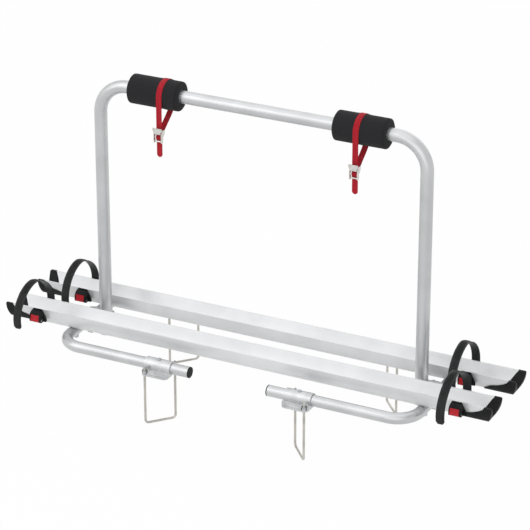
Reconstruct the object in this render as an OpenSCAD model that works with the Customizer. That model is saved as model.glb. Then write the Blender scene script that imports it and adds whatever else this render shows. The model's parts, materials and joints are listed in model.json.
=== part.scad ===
// Carrier for two bicycles that is clamped onto the drawbar of a caravan.
// Origin: middle of the rack, in the plane where its four brackets rest on the drawbar.
// +Z is up, +X runs along the wheel rails and -Y is the front row of the two.

/* [Bicycle hoop] */
// Outer diameter of the tall hoop's tube
hoop_d = 32; // [28:0.5:35]
// Wall of the hoop's tube
hoop_wall = 2; // [1.5:0.1:3]
// Distance between the axes of the two uprights
hoop_w = 868; // [820:1:900]
// Height of the top bar's axis
hoop_top = 660; // [520:1:800]
// Height of the uprights' open lower ends
hoop_foot = -14; // [-18:1:-8]
// Bend radius of the hoop's two corners, on the tube's axis
hoop_bend = 77; // [60:1:100]

/* [Base tubes] */
// Outer diameter of the two C-shaped base tubes
base_d = 28; // [26:0.5:30]
// Wall of the base tubes
base_wall = 2; // [1.5:0.1:3]
// Height of the base tubes' axis
base_z = 18; // [17.5:0.5:20]
// Bend radius of the base tubes, on the axis
base_bend = 60; // [50:1:70]
// Distance from the middle to a base tube's free end
base_end_x = 108; // [80:1:120]
// Distance from an upright's axis out to the base tube's part that runs under both rails
base_side_out = 43; // [38:1:50]
// Front straight part, distance in front of the hoop
base_front = 166; // [160:1:180]
// Rear straight part, distance behind the hoop
base_rear = 149; // [148:1:170]

/* [Wheel rails] */
// Length of a rail past the base tube that it is bolted to, at the rail's top edge
rail_past = 163; // [142:1:222]
// Width of a rail across its top edges
rail_w = 66.4; // [60:0.1:70]
// Height of a rail
rail_h = 38; // [34:0.5:42]
// Width of a rail's flat underside
rail_floor_w = 40; // [36:0.5:54]
// Depth of the channel that the wheels stand in
channel_depth = 33; // [28:0.5:34]
// Width of each top edge beside the channel
rail_rim = 3; // [2:0.1:4]
// Wall between the channel and the side chambers
rail_wall = 2; // [1.5:0.1:2.5]
// Distance between the two rails' centre lines
rail_pitch = 154; // [150:1:170]
// Front rail's centre line, distance in front of the hoop
rail_front = 79; // [75:0.5:85]
// Height of the rail's end cut, from the top edge inwards at the underside
rail_mitre = 23; // [10:1:30]

/* [End caps] */
// Length of a cap past the rail, at the top
cap_len = 19; // [12:0.5:30]
// How much shorter the cap is at the underside
cap_rake = 10; // [4:0.5:16]
// How far the cap's side skirts reach back along the rail
cap_skirt = 64; // [50:1:64]
// Thickness of a skirt
cap_wall = 1.5; // [1:0.1:1.8]

/* [Drawbar brackets] */
// Front brackets, distance from the middle
bracket_front_x = 190; // [180:1:200]
// Rear brackets, distance from the middle
bracket_rear_x = 292; // [280:1:300]
// Length of a bracket along its tube
bracket_l = 71; // [69:1:90]
// Depth of a bracket's base flange
bracket_w = 70; // [70:1:74]
// Thickness of the base flange
flange_t = 5; // [4:0.5:6]
// Corner radius of the base flange
flange_r = 12; // [8:1:20]
// Length of the sleeve round the tube
sleeve_l = 70; // [64:1:84]
// Wall of the sleeve
sleeve_wall = 3.2; // [2.5:0.1:3.6]
// Diameter of the U-bolt's wire
wire_d = 6; // [5:0.5:6.5]
// Distance between the U-bolt's two legs
wire_w = 79; // [76:1:81]
// Depth of the U-bolt's loop under the drawbar plane, to the wire's axis
wire_drop = 131.5; // [80:0.5:160]
// Bend radius of the loop's corners, on the wire's axis
wire_bend = 9; // [8:0.5:14]
// Height of the threaded leg ends
wire_top = 23; // [21:0.5:30]
// Angle between the loop and the rails
wire_turn = 49; // [46:1:52]

/* [Wheel strap holders] */
// Front holders, distance of the strap from the rail's end
holder_front_in = 71; // [69:1:74]
// Rear holders, distance of the strap from the rail's end
holder_rear_in = 112; // [110:1:114]
// Width of the wheel strap
strap_w = 22; // [18:0.5:24]
// Thickness of the wheel strap
strap_t = 3; // [2:0.1:3.2]
// Height of the strap's arch over the rail
strap_rise = 81; // [60:1:110]
// Reach of the front straps, from root to hanging end
strap_reach_front = 165; // [150:1:180]
// Reach of the rear straps, which hang between the two rails
strap_reach_rear = 154.4; // [140:0.2:154.6]
// Width of the ratchet buckle
buckle_w = 38; // [36:0.5:40]
// How far the buckle stands out from the rail
buckle_out = 23.8; // [23:0.1:26]
// Height of the buckle
buckle_h = 29; // [28:0.2:31]
// Distance from the strap's middle to the buckle's left end
buckle_left = 9; // [7:0.5:12]
// Diameter of the lever's steel pin
lever_pin_d = 4; // [3:0.5:5]
// Width of the red lever
lever_w = 23.4; // [20:0.2:25]

/* [Foam pads and frame straps] */
// Diameter of the foam pads on the top bar
pad_d = 73; // [60:1:80]
// Length of a foam pad
pad_l = 133; // [100:1:140]
// Left pad, distance of its middle from the left upright's axis
pad_left_in = 158.5; // [156:0.5:174]
// Right pad, distance of its middle from the right upright's axis
pad_right_in = 164; // [156:0.5:174]
// How far to the right of its pad's middle the left strap sits
strap_left_shift = 24.5; // [0:0.5:40]
// How far to the left of its pad's middle the right strap sits
strap_right_shift = 2.5; // [0:0.5:40]
// Width of the red frame strap
web_w = 15; // [12:0.5:16]
// Thickness of the red frame strap
web_t = 1.5; // [1:0.1:1.8]
// Length of the tail that hangs from the top bar's axis
tail_drop = 150; // [130:1:220]
// Distance from the top bar's axis down to the middle of the cam buckle
buckle_drop = 93.5; // [80:0.5:110]
// Width of the cam buckle over its cheeks
cam_w = 22; // [21:0.2:24]

/* [Clearances] */
// Gap between pieces that slide or swing past each other
slide_gap = 0.3; // [0.25:0.05:0.35]
// Gap between pieces that are bolted or pushed together
seat_gap = 0.1; // [0.05:0.05:0.2]
// Radial gap of a pin in the hole that it turns in
pin_gap = 0.05; // [0.03:0.01:0.08]

/* [Hidden] */

left = -1;
right = 1;
front = -1;
rear = 1;
$fn = 64;
// Overrun of a cut past the face that it opens
cut = 1;

// Heights and places that follow from the sizes above
rail_bottom = base_z + base_d / 2;
rail_top = rail_bottom + rail_h;
base_side_x = hoop_w / 2 + base_side_out;
rail_len = 2 * (base_side_x + rail_past);
function rail_y(row) = row == front ? -rail_front : rail_pitch - rail_front;
function base_y(row) = row == front ? -base_front : base_rear;
function bracket_x(row) = row == front ? bracket_front_x : bracket_rear_x;
function holder_x(row) = rail_len / 2 - (row == front ? holder_front_in : holder_rear_in);

module at_bracket(side, row) translate([side * bracket_x(row), base_y(row), 0]) children();
module at_holder(side, row) translate([side * holder_x(row), rail_y(row), rail_top]) children();

// A profile drawn in Y and Z, run along X
module along_x(length) rotate([90, 0, 90]) linear_extrude(height = length, center = true) children();
// A profile drawn in X and Z, run along Y
module along_y(length) rotate([90, 0, 0]) linear_extrude(height = length, center = true) children();
module rod_x(length, d) rotate([0, 90, 0]) cylinder(h = length, d = d, center = true);
module rod_y(length, d) rotate([90, 0, 0]) cylinder(h = length, d = d, center = true);

// Points of a circle's arc, from angle a to angle b
function arc(centre, r, a, b, steps) =
    [for (i = [0 : steps]) let (t = a + (b - a) * i / steps) centre + r * [cos(t), sin(t)]];
// Points of a cubic curve through p0 and p3
function curve(p0, p1, p2, p3, steps) =
    [for (i = [1 : steps]) let (t = i / steps, s = 1 - t)
        s * s * s * p0 + 3 * s * s * t * p1 + 3 * s * t * t * p2 + t * t * t * p3];
// Sideways unit vector of a path at point i
function side_of(path, i) =
    let (a = path[max(i - 1, 0)], b = path[min(i + 1, len(path) - 1)], d = (b - a) / norm(b - a))
        [-d.y, d.x];
// Outline of a band of thickness t that follows a path
function band(path, t) = concat(
    [for (i = [0 : len(path) - 1]) path[i] + side_of(path, i) * t / 2],
    [for (i = [len(path) - 1 : -1 : 0]) path[i] - side_of(path, i) * t / 2]);

// Hexagon nut or bolt head, bored if bore is over zero, standing on z = 0
module hex(across, height, bore = 0) {
    difference() {
        cylinder(h = height, d = across / cos(30), $fn = 6);
        if (bore > 0) translate([0, 0, -cut]) cylinder(h = height + 2 * cut, d = bore);
    }
}

// Tall hoop that the bicycles lean on

module hoop_path(d, extra) {
    for (side = [left, right]) {
        translate([side * hoop_w / 2, 0, hoop_foot - extra])
            cylinder(h = hoop_top - hoop_bend - hoop_foot + extra, d = d);
        mirror([side == left ? 1 : 0, 0, 0])
            translate([hoop_w / 2 - hoop_bend, 0, hoop_top - hoop_bend])
                rotate([90, 0, 0]) rotate_extrude(angle = 90) translate([hoop_bend, 0]) circle(d = d);
    }
    translate([0, 0, hoop_top]) rod_x(hoop_w - 2 * hoop_bend, d);
}

module top_frame() {
    color("silver") difference() {
        hoop_path(hoop_d, 0);
        hoop_path(hoop_d - 2 * hoop_wall, cut);
    }
}

plug_rim = 3;
plug_depth = 14;

module tube_plug(d, wall) {
    translate([0, 0, -plug_rim]) cylinder(h = plug_rim, d = d);
    cylinder(h = plug_depth, d = d - 2 * wall - 2 * seat_gap);
}

module upright_foot_plugs() {
    color("dimgray") for (side = [left, right])
        translate([side * hoop_w / 2, 0, hoop_foot]) tube_plug(hoop_d, hoop_wall);
}

// Base tubes, each a C lying flat under both rails

module base_path(d, extra) {
    corner_x = base_side_x - base_bend;
    straight = corner_x - base_end_x;
    for (row = [front, rear]) {
        y = base_y(row);
        translate([base_end_x + (straight - extra) / 2, y, base_z]) rod_x(straight + extra, d);
        translate([corner_x, y - row * base_bend, base_z]) mirror([0, row == front ? 1 : 0, 0])
            rotate_extrude(angle = 90) translate([base_bend, 0]) circle(d = d);
    }
    side_l = base_rear + base_front - 2 * base_bend;
    translate([base_side_x, (base_rear - base_front) / 2, base_z]) rod_y(side_l, d);
}

module base_tube(side) {
    color("silver") mirror([side == left ? 1 : 0, 0, 0]) difference() {
        base_path(base_d, 0);
        base_path(base_d - 2 * base_wall, cut);
        for (row = [front, rear]) translate([base_side_x, rail_y(row), base_z - base_d])
            cylinder(h = 2 * base_d, d = rail_bolt_d + 2 * seat_gap);
    }
}

module base_tube_plugs() {
    color("dimgray") for (side = [left, right], row = [front, rear])
        translate([side * base_end_x, base_y(row), base_z]) rotate([0, side * 90, 0])
            tube_plug(base_d, base_wall);
}

// Wheel rails: a hollow section with bowed sides and a rounded channel on top

rail_steps = 8;
function wall_x(a) = rail_floor_w / 2 + (rail_w - rail_floor_w) / 2 * cos(a);
channel_half = rail_w / 2 - rail_rim;

// Outline of the rail, grown sideways by grow and downwards by drop
module rail_outline(grow, drop) {
    right_side = [for (i = [0 : rail_steps]) let (a = 90 * i / rail_steps)
        [wall_x(a) + grow, -(rail_h + drop) * sin(a)]];
    left_side = [for (i = [rail_steps : -1 : 0]) [-right_side[i].x, right_side[i].y]];
    polygon(concat(right_side, left_side));
}

// The channel's parabola, grown by grow into the metal
module channel_outline(grow) {
    half = channel_half + grow;
    depth = channel_depth + grow;
    bowl = [for (i = [-rail_steps : rail_steps]) let (u = i / rail_steps) [u * half, -depth * (1 - u * u)]];
    polygon(concat(bowl, [[half, cut], [-half, cut]]));
}

// The hollow beside the channel on both sides, above the floor and off the middle web
chamber_top_share = 0.2;
web_half = 9;
module chamber_outline() {
    difference() {
        intersection() {
            rail_outline(-rail_wall, 0);
            translate([-rail_w / 2, -rail_h + rail_wall])
                square([rail_w, rail_h * (1 - chamber_top_share) - rail_wall]);
        }
        channel_outline(rail_wall);
        translate([-web_half, -rail_h]) square([2 * web_half, rail_h]);
    }
}

module rail(row) {
    tip = rail_len / 2;
    foot = tip - rail_mitre;
    color("silver") translate([0, rail_y(row), rail_top]) difference() {
        intersection() {
            along_x(rail_len) difference() {
                rail_outline(0, 0);
                channel_outline(0);
                chamber_outline();
            }
            along_y(2 * rail_w) polygon([[-tip, 0], [tip, 0], [foot, -rail_h], [-foot, -rail_h]]);
        }
        for (side = [left, right]) translate([side * base_side_x, 0, -rail_h]) {
            translate([0, 0, -cut]) cylinder(h = rail_h, d = rail_bolt_d + 2 * seat_gap);
            translate([0, 0, rail_floor_t]) cylinder(h = rail_h, d = rail_head_d + 2 * slide_gap);
        }
    }
}

module front_rail() rail(front);
module rear_rail() rail(rear);

// End cap for a rail's right end, at the rail's top edge; skirts run back along both sides
cap_corner_r = 3;
nose_steps = 6;
// Points of the skirt's upper edge, in shares of the skirt's reach and of the rail's height
skirt_edge_shares =
    [[0, 0], [-0.02, -0.14], [-0.1, -0.23], [-0.22, -0.35], [-0.42, -0.5], [-0.75, -0.64], [-1, -0.92]];

module cap_side_view() {
    low = rail_h + cap_wall;
    top_corner = arc([cap_len - cap_corner_r, -cap_corner_r], cap_corner_r, 90, 0, 4);
    bowed_end = [for (i = [1 : nose_steps]) let (s = i / nose_steps)
        [cap_len - s * s * cap_rake, -cap_corner_r - s * (low - cap_corner_r)]];
    nose = concat(top_corner, bowed_end);
    edge = [for (p = skirt_edge_shares) [p.x * cap_skirt, p.y * rail_h]];
    polygon(concat(edge, [[-cap_skirt, -low]], [for (i = [len(nose) - 1 : -1 : 0]) nose[i]]));
}

module end_cap(side, row) {
    room = 2 * cap_skirt;
    color("dimgray") translate([side * rail_len / 2, rail_y(row), rail_top])
        mirror([side == left ? 1 : 0, 0, 0]) difference() {
            intersection() {
                along_x(2 * room) rail_outline(cap_wall + seat_gap, cap_wall + seat_gap);
                along_y(2 * rail_w) cap_side_view();
            }
            // the rail's own end, cut back on a slant
            intersection() {
                along_x(2 * room) rail_outline(seat_gap, seat_gap);
                along_y(2 * rail_w) polygon([[seat_gap, cut], [seat_gap, 0],
                    [seat_gap - rail_mitre, -rail_h], [seat_gap - rail_mitre, -rail_h - cut],
                    [-room, -rail_h - cut], [-room, cut]]);
            }
            along_x(2 * room) channel_outline(0);
        }
}

// Bolts that hold the rails on the base tubes
rail_bolt_d = 8;
rail_head_d = 18;
rail_head_t = 3;
rail_floor_t = rail_h - channel_depth;
nut8_across = 13;
nut8_t = 6.5;

module rail_bolts() {
    head_z = rail_bottom + rail_floor_t;
    foot_z = rail_bottom - base_d - nut8_t - rail_bolt_d / 4;
    color("gainsboro") for (side = [left, right], row = [front, rear])
        translate([side * base_side_x, rail_y(row), 0]) {
            translate([0, 0, foot_z]) cylinder(h = head_z - foot_z, d = rail_bolt_d);
            translate([0, 0, head_z]) cylinder(h = rail_head_t, d = rail_head_d);
        }
}

module rail_nuts() {
    color("gainsboro") for (side = [left, right], row = [front, rear])
        translate([side * base_side_x, rail_y(row), rail_bottom - base_d - nut8_t])
            hex(nut8_across, nut8_t, rail_bolt_d + 2 * pin_gap);
}

// Clamps that join each upright's foot to the base tube beside it
foot_clamp_wall = 5;
foot_clamp_l = 36;
foot_clamp_top = 40;
clamp_bolt_d = 6;
clamp_head_across = 10;
clamp_head_t = 4;
clamp_nut_t = 5;

// Outline from the upright's axis to beyond the base tube, with two teeth at the bottom
module foot_clamp_side_view() {
    run = base_side_out;
    low = hoop_foot - plug_rim;
    top = foot_clamp_top;
    out = run + base_d / 2 + foot_clamp_wall;
    shelf = base_z - base_d / 2 - foot_clamp_wall;
    tooth = run / 4;
    polygon([[0, top], [hoop_d / 2, top], [out - base_d, rail_bottom + 2 * foot_clamp_wall],
        [out - foot_clamp_wall, rail_bottom + foot_clamp_wall], [out, base_z + base_d / 4],
        [out, shelf + foot_clamp_wall], [out - foot_clamp_wall, shelf],
        [run + tooth / 4, shelf], [run + tooth / 4, low], [run - tooth, low], [run - tooth, shelf],
        [hoop_d / 2 + tooth / 2, shelf], [0, shelf]]);
}

clamp_bolt_x = hoop_w / 2 + (base_side_out + hoop_d / 2 - base_d / 2) / 2;
clamp_bolt_z = [rail_bottom + clamp_bolt_d / 2, base_z - base_d / 2];

module foot_clamp(side) {
    color("darkgray") mirror([side == left ? 1 : 0, 0, 0]) difference() {
        translate([hoop_w / 2, 0, 0]) {
            along_y(foot_clamp_l) foot_clamp_side_view();
            translate([0, 0, hoop_foot])
                cylinder(h = foot_clamp_top - hoop_foot, d = hoop_d + 2 * foot_clamp_wall);
        }
        translate([hoop_w / 2, 0, hoop_foot - plug_rim - cut])
            cylinder(h = foot_clamp_top + base_d * 2, d = hoop_d + 2 * seat_gap);
        translate([base_side_x, 0, base_z]) rod_y(2 * foot_clamp_l, base_d + 2 * seat_gap);
        for (z = clamp_bolt_z) translate([clamp_bolt_x, 0, z])
            rod_y(2 * foot_clamp_l, clamp_bolt_d + 2 * seat_gap);
    }
}

module foot_clamp_bolts() {
    length = foot_clamp_l + clamp_nut_t + clamp_head_t / 2;
    color("gainsboro") for (side = [left, right], z = clamp_bolt_z)
        translate([side * clamp_bolt_x, -foot_clamp_l / 2, z]) rotate([-90, 0, 0]) {
            cylinder(h = length, d = clamp_bolt_d);
            translate([0, 0, -clamp_head_t]) hex(clamp_head_across, clamp_head_t);
        }
}

module foot_clamp_nuts() {
    color("gainsboro") for (side = [left, right], z = clamp_bolt_z)
        translate([side * clamp_bolt_x, foot_clamp_l / 2, z]) rotate([-90, 0, 0])
            hex(clamp_head_across, clamp_nut_t, clamp_bolt_d + 2 * pin_gap);
}

// Brackets: a sleeve on the base tube over a stepped flange that rests on the drawbar

sleeve_r = base_d / 2 + slide_gap + sleeve_wall;
wire_hole_d = wire_d + 4 * seat_gap;
pocket_r = 8;
// Depth of the spot face that each nut sits on
spot_t = 0.4;
// Upper ribs of the bracket's section: half widths in shares of the flange's half width, heights in
// shares of the height between flange and tube axis
rib_shares = [[0.9, 0], [0.9, 0.16], [0.82, 0.24], [0.82, 0.5], [0.44, 0.62], [0.44, 1]];

module bracket_section() {
    half = bracket_w / 2;
    ribs = [for (p = rib_shares) [p.x * half, flange_t + p.y * (base_z - flange_t)]];
    right_side = concat([[half, 0], [half, flange_t]], ribs);
    left_side = [for (i = [len(right_side) - 1 : -1 : 0]) [-right_side[i].x, right_side[i].y]];
    polygon(concat(right_side, left_side));
}

module flange_plan(length, width, r) {
    square([length - 2 * r, width], center = true);
    square([length, width - 2 * r], center = true);
    for (x = [-1, 1], y = [-1, 1]) translate([x * (length / 2 - r), y * (width / 2 - r)]) circle(r = r);
}

// Direction of the loop's near leg, mirrored from side to side
function loop_turn(side) = side == left ? wire_turn : -wire_turn;
module at_legs(side) rotate([0, 0, loop_turn(side)])
    for (end = [-1, 1]) translate([end * wire_w / 2, 0, 0]) children();

slit_w = 2.4;
screw_d = 5;
screw_head_d = 10;
screw_head_t = 1.8;

module saddle(side, row) {
    color("silver") at_bracket(side, row) difference() {
        union() {
            intersection() {
                along_x(bracket_l) bracket_section();
                linear_extrude(height = base_z) flange_plan(bracket_l, bracket_w, flange_r);
            }
            translate([0, 0, base_z]) rod_x(sleeve_l, 2 * sleeve_r);
        }
        translate([0, 0, base_z]) rod_x(2 * bracket_l, base_d + 2 * slide_gap);
        at_legs(side) {
            translate([0, 0, -cut]) cylinder(h = base_z, d = wire_hole_d);
            translate([0, 0, flange_t - spot_t]) cylinder(h = base_z, r = pocket_r);
        }
        translate([0, 0, base_z]) cylinder(h = 2 * sleeve_r, d = screw_d + 2 * seat_gap);
        // the slit that lets the sleeve close on its tube
        translate([-bracket_l, -slit_w / 2, -cut]) cube([2 * bracket_l, slit_w, base_z]);
    }
}

// Screw that stops the bracket on its tube
module saddle_screw(side, row) {
    seat = base_z + base_d / 2 + slide_gap;
    color("gainsboro") at_bracket(side, row) {
        translate([0, 0, seat]) cylinder(h = sleeve_wall + screw_head_t / 2, d = screw_d);
        translate([0, 0, seat + sleeve_wall + seat_gap]) cylinder(h = screw_head_t, d = screw_head_d);
    }
}

// Wire loop that goes round the drawbar: one bent rod
module u_bolt(side, row) {
    half = wire_w / 2;
    leg = wire_top + wire_drop - wire_bend;
    color("lightgray") at_bracket(side, row) rotate([0, 0, loop_turn(side)]) {
        for (end = [-1, 1]) mirror([end == -1 ? 1 : 0, 0, 0]) {
            translate([half, 0, wire_bend - wire_drop]) cylinder(h = leg, d = wire_d);
            translate([half - wire_bend, 0, wire_bend - wire_drop]) rotate([-90, 0, 0])
                rotate_extrude(angle = 90) translate([wire_bend, 0]) circle(d = wire_d);
        }
        translate([0, 0, -wire_drop]) rod_x(wire_w - 2 * wire_bend, wire_d);
    }
}

nut6_across = 10;
nut6_t = 6;

module u_bolt_nuts(side, row) {
    color("gainsboro") at_bracket(side, row) at_legs(side)
        translate([0, 0, flange_t - spot_t]) hex(nut6_across, nut6_t, wire_d + 2 * pin_gap);
}

// Wheel strap holders: a claw under the rail with a ratchet buckle in front and a strap socket behind

claw_w = 12;
claw_wall = 3.2;
claw_top = 6;
// Socket that the strap's root stands in
socket_wall = 2;
socket_top = 6;
socket_floor = 24;
socket_bed = 3;
// Behind the rail: the strap's middle plane
strap_root_y = rail_w / 2 + slide_gap + socket_wall / 2 + slide_gap + strap_t / 2;
strap_foot = socket_floor - socket_bed - slide_gap;

// The buckle's outline seen from its end, as shares of its stand-off and height
buckle_side_shares = [[0.09, 0.06], [0.36, 0.04], [0.66, -0.06], [0.86, -0.22], [0.97, -0.45]];
// Its outline seen from the front, as shares of its width and height
buckle_front_shares = [[0.03, 0.06], [0.66, 0.06], [1, -0.78], [1, -1.1], [0, -1.1], [0, -0.2]];
// The back that lies against the rail is wider than the cheeks by the step
buckle_back_t = 8;
buckle_step = 7;
cheek_right = buckle_w - buckle_left - buckle_step;
nose_r = 6.8;
pivot_out = buckle_out - nose_r;
pivot_down = buckle_h - nose_r;
cheek_inset = 2.8;
lever_left = buckle_left - cheek_inset;
boss_r = 6.7;
tooth_r = 7.4;
lever_top = 8.5;
lever_t = 4.8;
// Slot that the strap's free end is pushed down through, and the window where the lever's tooth meets it
slot_out = 5;
slot_t = 4.6;
window_up = 6;
window_down = 3;

module buckle_side_view() {
    face = [for (p = buckle_side_shares) [p.x * buckle_out, p.y * buckle_h]];
    nose = arc([pivot_out, -pivot_down], nose_r, 0, -90, 6);
    polygon(concat(face, nose, [[face[0].x, -buckle_h]]));
}

module buckle_front_view() polygon([for (p = buckle_front_shares) [p.x * buckle_w, p.y * buckle_h]]);

// Outwards from the front wall is -Y, so a side view is turned to face that way
module from_wall(x0, width) translate([x0, -rail_w / 2, 0]) mirror([0, 1, 0])
    rotate([90, 0, 90]) linear_extrude(height = width) children();

module pivot_rod(x0, length, d) translate([x0, -rail_w / 2 - pivot_out, -pivot_down])
    rotate([0, 90, 0]) cylinder(h = length, d = d);

module wheel_buckle(side, row) {
    color("black") at_holder(side, row) difference() {
        union() {
            intersection() {
                from_wall(-buckle_left, buckle_w) buckle_side_view();
                translate([-buckle_left, -rail_w / 2, 0]) rotate([90, 0, 0])
                    linear_extrude(height = buckle_out + nose_r) buckle_front_view();
            }
            claw();
            socket();
        }
        // the step beside the right cheek
        translate([cheek_right, -rail_w / 2 - buckle_out - cut, -buckle_h - cut])
            cube([buckle_step + cut, buckle_out + cut - buckle_back_t, 2 * buckle_h]);
        // room for the lever between the two cheeks
        translate([-lever_left - slide_gap, -rail_w / 2 - buckle_out - cut, -buckle_h - cut])
            cube([lever_w + 2 * slide_gap, buckle_out + cut - pivot_out + boss_r + slide_gap,
                buckle_h + cut - lever_top + slide_gap]);
        pivot_rod(-buckle_left - cut, buckle_w + 2 * cut, lever_pin_d + 2 * pin_gap);
        translate([-lever_left, -rail_w / 2 - slot_out - slot_t, -buckle_h - cut])
            cube([lever_w, slot_t, 2 * buckle_h]);
        translate([-lever_left, -rail_w / 2 - pivot_out, -pivot_down - window_down])
            cube([lever_w, pivot_out - slot_out, window_down + window_up]);
        // slot for the strap's root
        translate([0, strap_root_y, socket_bed - socket_floor + socket_floor / 2])
            cube([strap_w + 2 * slide_gap, strap_t + 2 * slide_gap, socket_floor], center = true);
    }
}

// C-shaped band that hugs the rail's sides and underside
module claw() {
    along_x(claw_w) difference() {
        rail_outline(claw_wall + slide_gap, claw_wall + slide_gap);
        rail_outline(slide_gap, slide_gap);
        translate([-rail_w, -claw_top]) square([2 * rail_w, claw_top + cut]);
    }
}

module socket() {
    depth = strap_t + 2 * slide_gap + 2 * socket_wall;
    inner = strap_root_y - strap_t / 2 - slide_gap - socket_wall / 2;
    difference() {
        translate([-strap_w / 2 - socket_wall, inner, -socket_floor])
            cube([strap_w + 2 * socket_wall, depth, socket_floor - socket_top]);
        along_x(2 * strap_w) rail_outline(slide_gap, slide_gap);
    }
}

// Red lever, hung on its pin near the buckle's lower edge
module buckle_lever(side, row) {
    inner = pivot_out - lever_t / 8;
    color("crimson") at_holder(side, row) difference() {
        union() {
            pivot_rod(-lever_left, lever_w, 2 * boss_r);
            from_wall(-lever_left, lever_w) polygon([[inner, -pivot_down - boss_r / 3], [inner, -lever_top],
                [inner + lever_t, -lever_top], [pivot_out + 0.9 * boss_r, -pivot_down - boss_r / 3]]);
            from_wall(-lever_left, lever_w) polygon([[pivot_out, boss_r / 2 - pivot_down],
                [pivot_out - tooth_r, -pivot_down], [pivot_out, -pivot_down - boss_r / 2]]);
        }
        pivot_rod(-buckle_left - cut, buckle_w + 2 * cut, lever_pin_d + 2 * pin_gap);
    }
}

pin_head_t = 1;
pin_head_share = 1.4;

module lever_pin(side, row) {
    color("gainsboro") at_holder(side, row) {
        pivot_rod(-buckle_left, cheek_right + buckle_left, lever_pin_d);
        pivot_rod(cheek_right, pin_head_t, lever_pin_d * pin_head_share);
        pivot_rod(-buckle_left - pin_head_t, pin_head_t, lever_pin_d * pin_head_share);
    }
}

// Arch of the wheel strap, in shares of its reach and rise: two curves that meet at the top
function strap_path(reach) = let (r = reach, h = strap_rise) concat(
    [[0, -strap_foot], [0, 0]],
    curve([0, 0], [0, 0.64 * h], [0.375 * r, h], [0.51 * r, h], 9),
    curve([0.51 * r, h], [0.76 * r, h], [r, 0.57 * h], [r, 0.05 * h], 9),
    [[0.985 * r, -0.2 * h]]);

module wheel_strap(side, row) {
    reach = row == front ? strap_reach_front : strap_reach_rear;
    color("black") at_holder(side, row) translate([0, strap_root_y, 0]) mirror([0, 1, 0])
        along_x(strap_w) polygon(band(strap_path(reach), strap_t));
}

// Foam pads on the top bar
pad_round = 4;

function pad_x(side) = side * (hoop_w / 2 - (side == left ? pad_left_in : pad_right_in));
function web_x(side) = pad_x(side) + (side == left ? strap_left_shift : -strap_right_shift);
bore_r = hoop_d / 2 + slide_gap;

module foam_pad(side) {
    corner = arc([pad_d / 2 - pad_round, pad_l / 2 - pad_round], pad_round, 0, 90, 6);
    outline = concat([[bore_r, pad_l / 2], [bore_r, -pad_l / 2]],
        [for (i = [len(corner) - 1 : -1 : 0]) [corner[i].x, -corner[i].y]], corner);
    color("dimgray") translate([pad_x(side), 0, hoop_top]) rotate([0, 90, 0])
        rotate_extrude() polygon(outline);
}

// Frame strap: one red webbing that loops round the pad and hangs down through its cam buckle

web_r = pad_d / 2 + slide_gap + web_t / 2;
web_plane = -web_r;
bar_r = 2;
bar_back = 5.5;
// How far the rear bar is above the buckle's middle
bar_rise = 7;
rear_bar = [web_plane + bar_back, bar_rise - buckle_drop];
wrap_r = bar_r + slide_gap + web_t / 2;
wrap_start = 310;
wrap_turn = 270;
web_leave = 5;
// Handles of the curve behind the pad: down from it, and up along the slant that ends at the rear bar
web_fall = 50;
web_climb = 50;
web_flat = 6;
// How far behind the front strand the tail hangs, and how far down the buckle it is straight again
tail_back = 1;
tail_bend = 16.5;
// Handle that makes the tail bow forwards in the cam buckle's window
tail_bow = 8;

function web_path() = let (
    leave = web_r * [cos(web_leave), sin(web_leave)],
    down = [sin(web_leave), -cos(web_leave)],
    meet = rear_bar + wrap_r * [cos(wrap_start), sin(wrap_start)],
    slant = [-sin(wrap_start), cos(wrap_start)],
    strand = [web_plane, -buckle_drop],
    tail = strand + [tail_back, -tail_bend])
    concat(
        [[tail.x, -tail_drop], tail],
        curve(tail, tail + [0, tail_bend / 2], strand - [tail_bow, tail_bend / 2], strand, 8),
        arc([0, 0], web_r, 180, web_leave, 26),
        curve(leave, leave + web_fall * down, meet + web_climb * slant, meet + web_flat * slant, 12),
        arc(rear_bar, wrap_r, wrap_start, wrap_start - wrap_turn, 10));

module at_web(side) translate([web_x(side), 0, hoop_top]) children();

module frame_strap(side) {
    color("crimson") at_web(side) along_x(web_w) polygon(band(web_path(), web_t));
}

cam_pin_d = 3.5;
cam_out = 5.6;
cam_rise = 8;
cam_pin_at = [web_plane - cam_out, cam_rise - buckle_drop];
bar_out = 4.5;
bar_step = 14;
front_bar = [web_plane - bar_out, -buckle_drop - bar_step];
cam_boss_r = 4.2;
tab_w = 25;
tab_t = 1.8;
tab_h = 7;
thumb_l = 12.4;
cheek_t = 1.8;
cheek_l = 31;
cheek_deep = 18;
cheek_out = 9.5;
cheek_rise = 13.5;
cheek_corner = [web_plane - cheek_out, cheek_rise - buckle_drop];
// Outline of a cheek from its upper front corner, in shares of its depth and length
cheek_shares = [[0, -0.12], [0.19, 0], [0.85, 0], [1, -0.1], [1, -0.3], [0.5, -0.55],
    [0.45, -0.94], [0.38, -1], [0.1, -1], [0, -0.88]];

module cam_buckle(side) {
    color("gainsboro") at_web(side) {
        difference() {
            for (end = [-1, 1]) translate([end * (cam_w - cheek_t) / 2, 0, 0])
                along_x(cheek_t) polygon([for (p = cheek_shares)
                    cheek_corner + [p.x * cheek_deep, p.y * cheek_l]]);
            translate([0, cam_pin_at.x, cam_pin_at.y]) rod_x(2 * cam_w, cam_pin_d + 2 * pin_gap);
        }
        for (bar = [rear_bar, front_bar]) translate([0, bar.x, bar.y]) rod_x(cam_w - cheek_t, 2 * bar_r);
    }
}

module cam_pin(side) {
    color("gainsboro") at_web(side) translate([0, cam_pin_at.x, cam_pin_at.y]) {
        rod_x(cam_w, cam_pin_d);
        for (end = [-1, 1]) translate([end * (cam_w + pin_head_t) / 2, 0, 0])
            rod_x(pin_head_t, cam_pin_d * pin_head_share);
    }
}

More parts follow.
